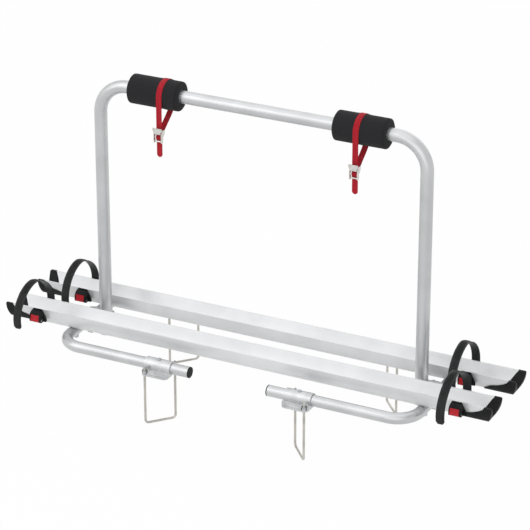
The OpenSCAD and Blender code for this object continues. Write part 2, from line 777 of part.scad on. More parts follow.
// Cam lever: a toothed boss on the pin and a thumb plate that stands up in front of the strap
module cam_lever(side) {
    inner = cam_w - 2 * cheek_t - 2 * slide_gap;
    plate = cam_pin_at.x - cam_boss_r - tab_t;
    low = cam_pin_at.y - cam_boss_r / 2;
    color("silver") at_web(side) difference() {
        union() {
            along_x(inner) {
                translate(cam_pin_at) circle(r = cam_boss_r);
                translate([plate, low]) square([tab_t, thumb_l]);
                translate([plate, low]) square([tab_t + cam_boss_r / 2, cam_boss_r]);
            }
            along_x(cam_w) translate([plate, cam_pin_at.y + 0.85 * cam_boss_r]) square([tab_t, tab_h]);
            along_x(tab_w) translate([plate, cheek_corner.y + 3 * slide_gap]) square([tab_t, tab_h]);
        }
        translate([0, cam_pin_at.x, cam_pin_at.y]) rod_x(2 * cam_w, cam_pin_d + 2 * pin_gap);
    }
}

top_frame();
upright_foot_plugs();
base_tube(left);  // base_tube_left
base_tube(right);  // base_tube_right
base_tube_plugs();
front_rail();
rear_rail();
end_cap(left, front);  // end_cap_front_left
end_cap(right, front);  // end_cap_front_right
end_cap(left, rear);  // end_cap_rear_left
end_cap(right, rear);  // end_cap_rear_right
foot_clamp(left);  // foot_clamp_left
foot_clamp(right);  // foot_clamp_right
foot_clamp_bolts();
foot_clamp_nuts();
rail_bolts();
rail_nuts();
saddle(left, front);  // saddle_front_left
saddle(right, front);  // saddle_front_right
saddle(left, rear);  // saddle_rear_left
saddle(right, rear);  // saddle_rear_right
u_bolt(left, front);  // u_bolt_front_left
u_bolt(right, front);  // u_bolt_front_right
u_bolt(left, rear);  // u_bolt_rear_left
u_bolt(right, rear);  // u_bolt_rear_right
u_bolt_nuts(left, front);  // u_bolt_nuts_front_left
u_bolt_nuts(right, front);  // u_bolt_nuts_front_right
u_bolt_nuts(left, rear);  // u_bolt_nuts_rear_left
u_bolt_nuts(right, rear);  // u_bolt_nuts_rear_right
saddle_screw(left, front);  // saddle_screw_front_left
saddle_screw(right, front);  // saddle_screw_front_right
saddle_screw(left, rear);  // saddle_screw_rear_left
saddle_screw(right, rear);  // saddle_screw_rear_right
wheel_buckle(left, front);  // wheel_buckle_front_left
wheel_buckle(right, front);  // wheel_buckle_front_right
wheel_buckle(left, rear);  // wheel_buckle_rear_left
wheel_buckle(right, rear);  // wheel_buckle_rear_right
buckle_lever(left, front);  // buckle_lever_front_left
buckle_lever(right, front);  // buckle_lever_front_right
buckle_lever(left, rear);  // buckle_lever_rear_left
buckle_lever(right, rear);  // buckle_lever_rear_right
lever_pin(left, front);  // lever_pin_front_left
lever_pin(right, front);  // lever_pin_front_right
lever_pin(left, rear);  // lever_pin_rear_left
lever_pin(right, rear);  // lever_pin_rear_right
wheel_strap(left, front);  // wheel_strap_front_left
wheel_strap(right, front);  // wheel_strap_front_right
wheel_strap(left, rear);  // wheel_strap_rear_left
wheel_strap(right, rear);  // wheel_strap_rear_right
foam_pad(left);  // foam_pad_left
foam_pad(right);  // foam_pad_right
frame_strap(left);  // frame_strap_left
frame_strap(right);  // frame_strap_right
cam_buckle(left);  // cam_buckle_left
cam_buckle(right);  // cam_buckle_right
cam_lever(left);  // cam_lever_left
cam_lever(right);  // cam_lever_right
cam_pin(left);  // cam_pin_left
cam_pin(right);  // cam_pin_right
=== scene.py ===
import json
import math

import bmesh
import bpy
from mathutils import Matrix, Vector
from mathutils.geometry import interpolate_bezier

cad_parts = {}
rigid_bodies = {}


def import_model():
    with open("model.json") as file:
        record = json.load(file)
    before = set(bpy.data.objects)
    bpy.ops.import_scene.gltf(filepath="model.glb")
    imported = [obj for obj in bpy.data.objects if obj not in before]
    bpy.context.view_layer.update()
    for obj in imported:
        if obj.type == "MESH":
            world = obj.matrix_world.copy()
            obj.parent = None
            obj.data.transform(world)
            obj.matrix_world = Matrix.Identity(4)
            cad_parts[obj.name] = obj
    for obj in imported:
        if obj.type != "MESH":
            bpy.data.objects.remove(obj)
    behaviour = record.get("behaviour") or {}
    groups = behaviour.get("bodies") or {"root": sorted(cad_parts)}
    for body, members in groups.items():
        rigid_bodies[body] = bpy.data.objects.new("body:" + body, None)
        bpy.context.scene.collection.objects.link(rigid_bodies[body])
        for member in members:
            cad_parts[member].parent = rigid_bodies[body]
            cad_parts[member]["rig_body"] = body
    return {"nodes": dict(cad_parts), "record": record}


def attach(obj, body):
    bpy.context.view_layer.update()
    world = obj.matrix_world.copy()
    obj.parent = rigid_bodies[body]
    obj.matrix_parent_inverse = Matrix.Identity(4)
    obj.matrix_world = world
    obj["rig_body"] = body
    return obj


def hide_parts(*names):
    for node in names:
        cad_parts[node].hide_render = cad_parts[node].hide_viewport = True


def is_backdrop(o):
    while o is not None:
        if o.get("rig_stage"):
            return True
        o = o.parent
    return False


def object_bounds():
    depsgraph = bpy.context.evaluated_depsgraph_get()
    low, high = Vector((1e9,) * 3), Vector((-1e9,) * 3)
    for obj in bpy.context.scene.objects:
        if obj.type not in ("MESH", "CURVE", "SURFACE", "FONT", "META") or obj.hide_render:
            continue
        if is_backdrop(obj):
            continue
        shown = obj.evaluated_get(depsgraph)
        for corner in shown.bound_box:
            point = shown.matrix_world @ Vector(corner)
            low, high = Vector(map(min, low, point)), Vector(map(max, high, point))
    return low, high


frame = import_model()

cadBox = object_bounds()
nodes = frame["nodes"]
mm = 0.001
weldGap = 1e-6  # points nearer than this, in metres, become one
corners = ["front_left", "front_right", "rear_left", "rear_right"]
sides = ["left", "right"]


# Small helpers

# Colours are sRGB codes, turned linear by the standard's own curve
srgbCurve = {"knee": 0.04045, "slope": 12.92, "lift": 0.055, "power": 2.4}
white = (1, 1, 1, 1)


def hexLinear(code):
    parts = [int(code[i:i + 2], 16) / 255 for i in (1, 3, 5)]
    lift = srgbCurve["lift"]
    return tuple(p / srgbCurve["slope"] if p <= srgbCurve["knee"]
                 else ((p + lift) / (1 + lift)) ** srgbCurve["power"] for p in parts) + (1.0,)


def addNode(tree, kind, inputs=None, **settings):
    node = tree.nodes.new(kind)
    for name, value in settings.items():
        setattr(node, name, value)
    for name, value in (inputs or {}).items():
        if isinstance(value, bpy.types.NodeSocket):
            tree.links.new(value, node.inputs[name])
        else:
            node.inputs[name].default_value = value
    return node


def newMaterial(name, shader):
    material = bpy.data.materials.new(name)
    material.use_nodes = True
    tree = material.node_tree
    tree.nodes.clear()
    bsdf = addNode(tree, "ShaderNodeBsdfPrincipled", shader)
    addNode(tree, "ShaderNodeOutputMaterial", {"Surface": bsdf.outputs[0]})
    return material, tree, bsdf


def linked(name, data):
    thing = bpy.data.objects.new(name, data)
    bpy.context.scene.collection.objects.link(thing)
    return thing


# Blend two colours, each a code or a socket, by a value within a span
mixSockets = {"factor": 0, "dark": 6, "light": 7, "result": 2}


def toneOf(tree, value, span, dark, light):
    share = addNode(tree, "ShaderNodeMapRange", {"Value": value, "From Min": span[0], "From Max": span[1]})
    mix = addNode(tree, "ShaderNodeMix", data_type="RGBA")
    tree.links.new(share.outputs[0], mix.inputs[mixSockets["factor"]])
    for end, colour in (("dark", dark), ("light", light)):
        if isinstance(colour, bpy.types.NodeSocket):
            tree.links.new(colour, mix.inputs[mixSockets[end]])
        else:
            mix.inputs[mixSockets[end]].default_value = hexLinear(colour)
    return mix.outputs[mixSockets["result"]]


# Grain, die lines or moulded texture: a fine pattern for bump and gloss, a broad one for tone.
# A look gives its grain, patch and depth in millimetres; all looks share these noise settings.
grainNoise = {"detail": 3.0, "breakup": 0.6, "patchDetail": 2.0, "glossSpan": (0.3, 0.7),
              "toneSpan": (0.35, 0.65)}


def surfaceGrain(name, look):
    material, tree, bsdf = newMaterial(name, look["shader"])
    coords = addNode(tree, "ShaderNodeTexCoord").outputs["Object"]
    drawn = addNode(tree, "ShaderNodeMapping", {"Vector": coords, "Scale": look.get("stretch", (1, 1, 1))})
    fine = addNode(tree, "ShaderNodeTexNoise", {
        "Vector": drawn.outputs[0], "Scale": 1 / (look["grain"] * mm),
        "Detail": grainNoise["detail"], "Roughness": grainNoise["breakup"]})
    low, high = grainNoise["glossSpan"]
    gloss = addNode(tree, "ShaderNodeMapRange", {
        "Value": fine.outputs[0], "From Min": low, "From Max": high,
        "To Min": look["roughness"][0], "To Max": look["roughness"][1]})
    bump = addNode(tree, "ShaderNodeBump", {
        "Height": fine.outputs[0], "Distance": look["depth"] * mm, "Strength": 1.0})
    broad = addNode(tree, "ShaderNodeTexNoise", {
        "Vector": coords, "Scale": 1 / (look["patch"] * mm), "Detail": grainNoise["patchDetail"]})
    tone = toneOf(tree, broad.outputs[0], grainNoise["toneSpan"], look["dark"], look["light"])
    tree.links.new(gloss.outputs[0], bsdf.inputs["Roughness"])
    tree.links.new(bump.outputs[0], bsdf.inputs["Normal"])
    tree.links.new(tone, bsdf.inputs["Base Color"])
    return material


# Closed-cell foam: a matte skin of fine cells on a cloudy tone
def foamSkin(name, look):
    material, tree, bsdf = newMaterial(name, look["shader"])
    coords = addNode(tree, "ShaderNodeTexCoord").outputs["Object"]
    cells = addNode(tree, "ShaderNodeTexVoronoi", {"Vector": coords, "Scale": 1 / (look["cell"] * mm)})
    broad = addNode(tree, "ShaderNodeTexNoise", {
        "Vector": coords, "Scale": 1 / (look["patch"] * mm), "Detail": look["patchDetail"]})
    bump = addNode(tree, "ShaderNodeBump", {
        "Height": cells.outputs["Distance"], "Distance": look["depth"] * mm, "Strength": 1.0})
    cloud = toneOf(tree, broad.outputs[0], look["toneSpan"], look["dark"], look["light"])
    tone = toneOf(tree, cells.outputs["Distance"], look["cellSpan"], cloud, look["light"])
    tree.links.new(tone, bsdf.inputs["Base Color"])
    tree.links.new(bump.outputs[0], bsdf.inputs["Normal"])
    return material


# Webbing: a herringbone of yarns read from the strap's own UV map, in metres
def herringbone(name, look):
    material, tree, bsdf = newMaterial(name, look["shader"])
    uvPlace = addNode(tree, "ShaderNodeSeparateXYZ", {
        "Vector": addNode(tree, "ShaderNodeTexCoord").outputs["UV"]})
    across, along = uvPlace.outputs[0], uvPlace.outputs[1]
    waves = math.tau / (look["yarn"] * mm)
    fold = addNode(tree, "ShaderNodeMath", {0: across, 1: look["stripe"] * mm}, operation="PINGPONG")
    slant = addNode(tree, "ShaderNodeMath", {0: fold.outputs[0], 1: look["lean"], 2: along},
                    operation="MULTIPLY_ADD")
    turns = addNode(tree, "ShaderNodeMath", {0: slant.outputs[0], 1: waves}, operation="MULTIPLY")
    ribs = addNode(tree, "ShaderNodeMath", {0: turns.outputs[0]}, operation="SINE")
    warp = addNode(tree, "ShaderNodeMath", {0: across, 1: waves}, operation="MULTIPLY")
    warps = addNode(tree, "ShaderNodeMath", {0: warp.outputs[0]}, operation="SINE")
    yarns = addNode(tree, "ShaderNodeMath", {0: warps.outputs[0], 1: look["warpShare"], 2: ribs.outputs[0]},
                    operation="MULTIPLY_ADD")
    bump = addNode(tree, "ShaderNodeBump", {
        "Height": yarns.outputs[0], "Distance": look["depth"] * mm, "Strength": look["strength"]})
    tone = toneOf(tree, yarns.outputs[0], look["toneSpan"], look["dark"], look["light"])
    tree.links.new(tone, bsdf.inputs["Base Color"])
    tree.links.new(bump.outputs[0], bsdf.inputs["Normal"])
    return material


# Materials, under the names of the part's material slots

materials = {
    # drawn aluminium tube, etched and anodised: an even satin with a faint cloudiness
    "tube": surfaceGrain("anodised tube", {
        "shader": {"Metallic": 0.85}, "dark": "#BDBEBF", "light": "#C6C7C8", "grain": 0.9, "patch": 70,
        "roughness": (0.30, 0.38), "depth": 0.004}),
    # extruded aluminium rail: the die leaves fine lines along its whole length
    "rail": surfaceGrain("extruded aluminium", {
        "shader": {"Metallic": 0.3}, "dark": "#D4D5D6", "light": "#DCDDDE", "grain": 1.4, "patch": 90,
        "roughness": (0.28, 0.40), "depth": 0.02, "stretch": (0.004, 1, 1)}),
    # die-cast and tumbled aluminium: dull, with a pebbled skin
    "casting": surfaceGrain("tumbled casting", {
        "shader": {"Metallic": 0.8}, "dark": "#B6B7B8", "light": "#C4C5C6", "grain": 1.1, "patch": 14,
        "roughness": (0.46, 0.62), "depth": 0.06}),
    # extruded and machined bracket, its die lines running with the tube
    "bracket": surfaceGrain("machined bracket", {
        "shader": {"Metallic": 0.85}, "dark": "#BCBDBE", "light": "#CACBCC", "grain": 1.0, "patch": 22,
        "roughness": (0.30, 0.44), "depth": 0.015, "stretch": (0.02, 1, 1)}),
    # cold-drawn stainless wire, a warm grey that is glossier than the aluminium
    "stainless_wire": surfaceGrain("stainless wire", {
        "shader": {"Metallic": 1.0}, "dark": "#B2AFA9", "light": "#C6C3BD", "grain": 0.7, "patch": 25,
        "roughness": (0.22, 0.32), "depth": 0.004}),
    # zinc-plated steel fasteners, cool and slightly mottled
    "fastener": surfaceGrain("zinc plating", {
        "shader": {"Metallic": 1.0}, "dark": "#A9ACB1", "light": "#C6C9CD", "grain": 0.8, "patch": 4,
        "roughness": (0.24, 0.36), "depth": 0.01}),
    # nickel-plated pressed steel of the cam buckles and pins
    "plated_steel": surfaceGrain("nickel plate", {
        "shader": {"Metallic": 1.0}, "dark": "#C4C2BE", "light": "#D8D6D2", "grain": 0.8, "patch": 8,
        "roughness": (0.16, 0.26), "depth": 0.006}),
    # injection-moulded glass-filled nylon with a spark-eroded mould texture
    "black_plastic": surfaceGrain("moulded nylon", {
        "shader": {"IOR": 1.53, "Specular IOR Level": 0.15}, "dark": "#121213", "light": "#1B1C1D",
        "grain": 0.45, "patch": 18, "roughness": (0.5, 0.62), "depth": 0.03}),
    # moulded flexible polyurethane strap, smoother than the buckle
    "black_strap": surfaceGrain("moulded strap", {
        "shader": {"IOR": 1.5, "Specular IOR Level": 0.25}, "dark": "#161617", "light": "#212223",
        "grain": 0.6, "patch": 16, "roughness": (0.34, 0.46), "depth": 0.02}),
    # injection-moulded acetal lever, dyed through
    "red_plastic": surfaceGrain("moulded acetal", {
        "shader": {"IOR": 1.48, "Specular IOR Level": 0.3}, "dark": "#AE1420", "light": "#C01B29",
        "grain": 0.5, "patch": 12, "roughness": (0.28, 0.38), "depth": 0.02}),
    # closed-cell foam; the real cells are about half a millimetre and are drawn larger, so that they show
    "foam": foamSkin("closed-cell foam", {
        "shader": {"Roughness": 0.88, "Sheen Weight": 0.04, "Sheen Roughness": 0.6,
                   "Specular IOR Level": 0.1},
        "dark": "#161617", "light": "#262628", "cell": 1.3, "cellSpan": (0.0, 0.5), "depth": 0.3,
        "patch": 20, "patchDetail": 4.0, "toneSpan": (0.3, 0.7)}),
    # woven polyester webbing: dyed yarns in a herringbone, dull with a faint sheen
    "red_webbing": herringbone("woven webbing", {
        "shader": {"Roughness": 0.74, "Sheen Weight": 0.08, "Sheen Roughness": 0.45,
                   "Specular IOR Level": 0.15},
        "dark": "#9A1420", "light": "#C22030", "yarn": 1.1, "stripe": 5, "lean": 0.9, "warpShare": 0.4,
        "depth": 0.22, "strength": 0.8, "toneSpan": (-1.2, 0.9)}),
}
print("materials:", len(materials))


# Each CAD node takes the material of its slot
slotOf = {row["node"]: row["material_slot"] for row in frame["record"]["subparts"]}
for name, node in nodes.items():
    node.data.materials.clear()
    node.data.materials.append(materials[slotOf[name]])


# Link a finished mesh as a piece that rides with its body; it stands for the CAD nodes in stands
def newPiece(name, bm, slotName, body, stands=(), sharpAngle=50):
    mesh = bpy.data.meshes.new(name)
    for face in bm.faces:
        face.smooth = True
    bm.to_mesh(mesh)
    bm.free()
    mesh.set_sharp_from_angle(angle=math.radians(sharpAngle))
    mesh.materials.append(materials[slotName])
    piece = linked(name, mesh)
    weights = piece.modifiers.new("weights", "WEIGHTED_NORMAL")
    weights.keep_sharp = True
    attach(piece, body)
    if stands:
        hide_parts(*stands)
    return piece


def bodyOf(name):
    return nodes[name]["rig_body"]


# A CAD node's mesh as a bmesh of its own, with its loose triangles joined
def joinedCopy(name):
    bm = bmesh.new()
    bm.from_mesh(nodes[name].data)
    bmesh.ops.remove_doubles(bm, verts=bm.verts, dist=weldGap)
    return bm


# Edges sharper than one angle, in degrees, are rounded, once triangles flatter than the other are joined
rounding = {"sharp": 30, "flat": 1, "segments": 2}


# A copy of a CAD node with its edges rounded, as moulded, cast and machined pieces have them
def softened(name, radius):
    bm = joinedCopy(name)
    bmesh.ops.dissolve_limit(bm, angle_limit=math.radians(rounding["flat"]), verts=bm.verts, edges=bm.edges)
    sharp = [edge for edge in bm.edges
             if edge.is_manifold and edge.calc_face_angle(0) > math.radians(rounding["sharp"])]
    bmesh.ops.bevel(bm, geom=sharp, offset=radius * mm, offset_type="OFFSET", affect="EDGES",
                    segments=rounding["segments"], profile=0.5, material=-1, clamp_overlap=True)
    return newPiece(name + "_soft", bm, slotOf[name], bodyOf(name), [name])


# Edge radius of each kind of piece, in millimetres
edgeRadii = {
    "upright_foot_plugs": 0.8, "base_tube_plugs": 0.8, "front_rail": 0.5, "rear_rail": 0.5, "end_cap": 0.35,
    "foot_clamp": 1.2, "foot_clamp_bolts": 0.4, "foot_clamp_nuts": 0.4, "rail_nuts": 0.4, "saddle": 0.8,
    "u_bolt_nuts": 0.4, "wheel_buckle": 0.8, "buckle_lever": 0.8, "cam_buckle": 0.4, "cam_lever": 0.4,
}
headed = ["rail_bolts"] + [f"saddle_screw_{corner}" for corner in corners]  # made new below


def kindOf(name):
    while name and name not in edgeRadii:
        name = name.rpartition("_")[0]
    return name


rounded = [softened(name, edgeRadii[kindOf(name)]) for name in nodes if kindOf(name) and name not in headed]
print("softened pieces:", len(rounded))


# Screws with a hex socket in a round head, in millimetres
railBolt = {"d": 18, "t": 3, "socket": 5, "deep": 1.6, "round": 1.6, "shank": 8}
saddleScrew = {"d": 10, "t": 1.8, "socket": 4, "deep": 1.1, "round": 0.6, "shank": 5}
screwMake = {"around": 24, "insetShare": 0.8, "roundSteps": 3, "hexTurn": 60, "sharpAngle": 35}


def turnedRod(bm, foot, length, radius):
    middle = Matrix.Translation(foot + Vector((0, 0, length / 2)))
    return bmesh.ops.create_cone(bm, cap_ends=True, segments=screwMake["around"], radius1=radius,
                                 radius2=radius, depth=length, matrix=middle)


# The head stands at place with its top towards +Z
def socketHead(bm, place, head):
    made = turnedRod(bm, place, head["t"] * mm, head["d"] / 2 * mm)
    faces = {face for vert in made["verts"] for face in vert.link_faces}
    top = max(faces, key=lambda face: face.calc_center_median().z)
    rim = list(top.edges)
    inset = (head["d"] - head["socket"]) / 2 * mm * screwMake["insetShare"]
    bmesh.ops.inset_region(bm, faces=[top], thickness=inset)
    for vert in top.verts:
        spoke = vert.co - place
        angle = math.degrees(math.atan2(spoke.y, spoke.x)) % screwMake["hexTurn"] - screwMake["hexTurn"] / 2
        reach = head["socket"] / 2 * mm / math.cos(math.radians(angle))
        flat = Vector((spoke.x, spoke.y, 0)).normalized() * reach
        vert.co = Vector((place.x + flat.x, place.y + flat.y, vert.co.z))
    pushed = bmesh.ops.extrude_face_region(bm, geom=[top])
    bmesh.ops.delete(bm, geom=[top], context="FACES_ONLY")
    floor = [item for item in pushed["geom"] if isinstance(item, bmesh.types.BMVert)]
    bmesh.ops.translate(bm, verts=floor, vec=(0, 0, -head["deep"] * mm))
    bmesh.ops.bevel(bm, geom=rim, offset=head["round"] * mm, offset_type="OFFSET", affect="EDGES",
                    segments=screwMake["roundSteps"], profile=0.5, material=-1)


# Lowest and highest corner of each solid in a CAD node
def islandBoxes(name):
    bm = joinedCopy(name)
    left = set(bm.verts)
    while left:
        found, front = set(), [next(iter(left))]
        while front:
            vert = front.pop()
            if vert not in found:
                found.add(vert)
                front += [link.other_vert(vert) for link in vert.link_edges]
        left -= found
        yield (Vector([min(v.co[i] for v in found) for i in range(3)]),
               Vector([max(v.co[i] for v in found) for i in range(3)]))
    bm.free()


for name in headed:
    screw = railBolt if name == "rail_bolts" else saddleScrew
    bm = bmesh.new()
    for low, high in islandBoxes(name):
        middle = (low + high) / 2
        seat = high.z - screw["t"] * mm
        turnedRod(bm, Vector((middle.x, middle.y, low.z)), seat - low.z, screw["shank"] / 2 * mm)
        socketHead(bm, Vector((middle.x, middle.y, seat)), screw)
    bmesh.ops.recalc_face_normals(bm, faces=bm.faces)
    newPiece(name + "_headed", bm, "fastener", bodyOf(name), [name], screwMake["sharpAngle"])
print("screw heads done")


# Rolled threads on the U-bolts' legs, above the nuts and below the flanges, in millimetres
thread = {"wire": 6, "pitch": 1.0, "proud": 0.22, "sunk": 0.05, "steps": 12, "sharpAngle": 60,
          "stretches": ((11.2, 22.4), (-32, -2))}

for corner in corners:
    bm = bmesh.new()
    for low, high in islandBoxes(f"u_bolt_nuts_{corner}"):
        axis = (low + high) / 2
        for bottom, top in thread["stretches"]:
            turns = int((top - bottom) / thread["pitch"]) - 1
            root = thread["wire"] / 2 - thread["sunk"]
            crest = root + thread["proud"] + thread["sunk"]
            points = [(root, 0), (crest, thread["pitch"] / 2), (root, thread["pitch"])]
            line = [bm.verts.new((axis.x + r * mm, axis.y, (bottom + z) * mm)) for r, z in points]
            edges = [bm.edges.new(pair) for pair in zip(line, line[1:])]
            bmesh.ops.spin(bm, geom=line + edges, cent=(axis.x, axis.y, 0), axis=(0, 0, 1),
                           dvec=(0, 0, thread["pitch"] * mm / thread["steps"]), angle=math.tau * turns,
                           steps=thread["steps"] * turns, use_merge=False)
    bmesh.ops.remove_doubles(bm, verts=bm.verts, dist=weldGap)
    bmesh.ops.recalc_face_normals(bm, faces=bm.faces)
    newPiece(f"thread_{corner}", bm, "stainless_wire", bodyOf(f"u_bolt_{corner}"),
             sharpAngle=thread["sharpAngle"])
print("threads done")


# A path in the Y-Z plane, given in millimetres, along which a band is swept ring by ring
class Route:
    lookAhead = 0.4 * mm

    def __init__(self, points):
        self.points = [Vector((0, y * mm, z * mm)) for y, z in points]
        self.reach = [0]
        for a, b in zip(self.points, self.points[1:]):
            self.reach.append(self.reach[-1] + (b - a).length)
        self.length = self.reach[-1]

    def spot(self, s):
        s = min(max(s, 0), self.length)
        i = next(k for k in range(1, len(self.reach)) if self.reach[k] >= s or k == len(self.reach) - 1)
        share = (s - self.reach[i - 1]) / (self.reach[i] - self.reach[i - 1])
        return self.points[i - 1].lerp(self.points[i], share)

    # Place at s, and the direction that lies to the right of the travel there
    def place(self, s):
        ahead = (self.spot(s + self.lookAhead) - self.spot(s - self.lookAhead)).normalized()
        return self.spot(s), Vector((0, ahead.z, -ahead.y))


def arcPoints(cy, cz, r, start, stop, steps):
    angles = [math.radians(start + (stop - start) * i / steps) for i in range(steps + 1)]
    return [(cy + r * math.cos(angle), cz + r * math.sin(angle)) for angle in angles]


# The first point is left out, because the path before it ends there
def bezierPoints(a, b, c, d, steps):
    spots = interpolate_bezier(*[Vector((y, z)) for y, z in (a, b, c, d)], steps + 1)
    return [(p.x, p.y) for p in spots][1:]


# section(s) gives the ring at s as (across, outwards) in metres; marks are the stations along the route
def sweepBand(bm, route, x, marks, section):
    uv = bm.loops.layers.uv.verify()
    alongLayer = bm.verts.layers.float.new("along")
    acrossLayer = bm.verts.layers.float.new("across")

    def settle(ring, s):
        spot, out = route.place(s)
        for vert, (a, o) in zip(ring, section(s)):
            vert.co = spot + out * o + Vector((x + a, 0, 0))
            vert[alongLayer], vert[acrossLayer] = s, a

    ring = [bm.verts.new((0, 0, 0)) for point in section(marks[0])]
    edges = [bm.edges.new((ring[i - 1], ring[i])) for i in range(len(ring))]
    settle(ring, marks[0])
    first = list(ring)
    for s in marks[1:]:
        grown = bmesh.ops.extrude_edge_only(bm, edges=edges)["geom"]
        fresh = {item for item in grown if isinstance(item, bmesh.types.BMVert)}
        ring = [next(e.other_vert(old) for e in old.link_edges if e.other_vert(old) in fresh) for old in ring]
        edges = [item for item in grown if isinstance(item, bmesh.types.BMEdge)
                 and item.verts[0] in fresh and item.verts[1] in fresh]
        settle(ring, s)
    for end in (first, ring):
        bmesh.ops.contextual_create(bm, geom=end)
    bmesh.ops.recalc_face_normals(bm, faces=bm.faces)
    for face in bm.faces:
        for loop in face.loops:
            loop[uv].uv = (loop.vert[acrossLayer], loop.vert[alongLayer])


# Wheel straps: moulded band with a ladder of teeth on its outer face. The arch is drawn as two curves
# and an end, in shares of its reach across the rail and its rise above it.
wheelStrap = {
    "width": 22, "thick": 3, "corner": 0.6, "rise": 81, "root": 36.3, "foot": 20.7, "railTop": 70,
    "reach": {"front": 165, "rear": 154.4}, "railY": {"front": -79, "rear": 75},
    "holderX": {"front": 569, "rear": 528}, "archSteps": 24, "archEnd": (0.985, -0.2),
    "arch": (((0, 0), (0, 0.64), (0.375, 1), (0.51, 1)), ((0.51, 1), (0.76, 1), (1, 0.57), (1, 0.05))),
    "ladderWidth": 13, "ladderRim": 2.2, "ladderStart": 0.42, "ladderEnd": 7, "plainSteps": 40,
    "toothPitch": 3.6, "toothHeight": 0.9, "toothLean": 0.3, "toothMarks": (0, 0.3, 0.62, 0.7),
    "toothSpan": (0.25, 0.66), "tipLength": 6, "tipWidth": 13, "tipSteps": 7, "sharpAngle": 35,
}


# Where the ladder starts and ends, and all stations along the strap
def strapMarks(route, strap):
    start, end = route.length * strap["ladderStart"], route.length - strap["ladderEnd"] * mm
    count = int((end - start) / (strap["toothPitch"] * mm))
    marks = [start * i / strap["plainSteps"] for i in range(strap["plainSteps"])]
    for i in range(count):
        marks += [start + (i + share) * strap["toothPitch"] * mm for share in strap["toothMarks"]]
    tail = marks[-1]
    marks += [tail + (route.length - tail) * (i / strap["tipSteps"]) for i in range(1, strap["tipSteps"] + 1)]
    return start, start + count * strap["toothPitch"] * mm, marks


for corner in corners:
    row, side = corner.split("_")
    strap = wheelStrap
    reach, rise = strap["reach"][row], strap["rise"]
    shape = [(0, -strap["foot"]), (0, 0)]
    for curve in strap["arch"]:
        shape += bezierPoints(*[(y * reach, z * rise) for y, z in curve], strap["archSteps"])
    shape += [(strap["archEnd"][0] * reach, strap["archEnd"][1] * rise)]
    route = Route([(strap["railY"][row] + strap["root"] - y, strap["railTop"] + z) for y, z in shape])
    toothStart, toothEnd, marks = strapMarks(route, strap)
    half, thick = strap["width"] / 2 * mm, strap["thick"] / 2 * mm
    ladder, tooth = strap["ladderWidth"] / 2 * mm, strap["toothHeight"] * mm

    def strapSection(s):
        left, tip = route.length - s, strap["tipLength"] * mm
        h = half if left > tip else half - (half - strap["tipWidth"] / 2 * mm) * (1 - left / tip)
        inner = min(ladder, h - strap["ladderRim"] * mm)
        lean, c = strap["toothLean"] * mm, strap["corner"] * mm
        face = thick - tooth
        onLadder = toothStart <= s < toothEnd - weldGap
        phase = ((s - toothStart) / (strap["toothPitch"] * mm)) % 1 if onLadder else 0
        top = thick if strap["toothSpan"][0] < phase < strap["toothSpan"][1] else face
        return [(-h, -thick + c), (-h, face - c), (-h + c, face), (-inner - lean, face), (-inner, top),
                (inner, top), (inner + lean, face), (h - c, face), (h, face - c), (h, -thick + c),
                (h - c, -thick), (-h + c, -thick)]

    bm = bmesh.new()
    sweepBand(bm, route, (-1 if side == "left" else 1) * strap["holderX"][row] * mm, marks, strapSection)
    node = f"wheel_strap_{corner}"
    newPiece(f"ladder_strap_{corner}", bm, "black_strap", bodyOf(node), [node], strap["sharpAngle"])
print("wheel straps done")


# Foam sleeves on the top bar, which swell a little beside their straps
foamPad = {"x": {"left": -275.5, "right": 270}, "length": 133, "outer": 36.5, "bore": 16.3, "round": 4,
           "barZ": 660, "swell": 0.7, "swellGap": 3, "swellReach": 4.5, "fill": 0.95,
           "steps": 60, "around": 72}
webbing = {
    "x": {"left": -251, "right": 267.5}, "width": 15, "thick": 1.5, "edge": 0.45, "padGap": 0.3,
    # hanging end, from its tip up to the pad
    "tail": -150, "tailBack": 1, "tailBend": 16.5, "tailBow": 8, "tailSteps": 16, "strandEnd": -93.5,
    # rear strand, from the pad down to the turn round the buckle's rear bar
    "leave": 5, "fall": 50, "climb": 50, "flat": 6, "strandSteps": 40, "overSteps": 60,
    "bar": (-32.05, -86.5), "wrap": 3.05, "wrapStart": 310, "turn": 270, "wrapSteps": 16,
    # stations along it and in its rounded tip
    "steps": 260, "tipSteps": 10, "tipGap": 0.02, "tipLeast": 0.6, "acrossSteps": 4, "sharpAngle": 60,
}

for side in sides:
    pad, strapX = foamPad, webbing["x"][side]
    half, curve = pad["length"] / 2, pad["round"]
    profile = []
    for i in range(pad["steps"] + 1):
        u = -half + pad["length"] * i / pad["steps"]
        nearEnd = max(0, abs(u) - (half - curve))
        drop = curve - math.sqrt(max(0, curve * curve - nearEnd * nearEnd))
        beside = abs(pad["x"][side] + u - strapX) - (webbing["width"] / 2 + pad["swellGap"])
        swell = pad["swell"] * math.exp(-(beside / pad["swellReach"]) ** 2)
        profile.append((u, pad["outer"] - drop + (swell if nearEnd == 0 else 0)))
    ring = profile + [(half, pad["bore"]), (-half, pad["bore"])]
    bm = bmesh.new()
    verts = [bm.verts.new(((pad["x"][side] + u) * mm, 0, (pad["barZ"] + r) * mm)) for u, r in ring]
    edges = [bm.edges.new((verts[i - 1], verts[i])) for i in range(len(verts))]
    bmesh.ops.spin(bm, geom=verts + edges, cent=(0, 0, pad["barZ"] * mm), axis=(1, 0, 0), angle=math.tau,
                   steps=pad["around"], use_merge=True)
    bmesh.ops.remove_doubles(bm, verts=bm.verts, dist=weldGap)
    bmesh.ops.recalc_face_normals(bm, faces=bm.faces)
    node = f"foam_pad_{side}"
    sleeve = newPiece(f"foam_sleeve_{side}", bm, "foam", bodyOf(node), [node])
print("foam sleeves done")


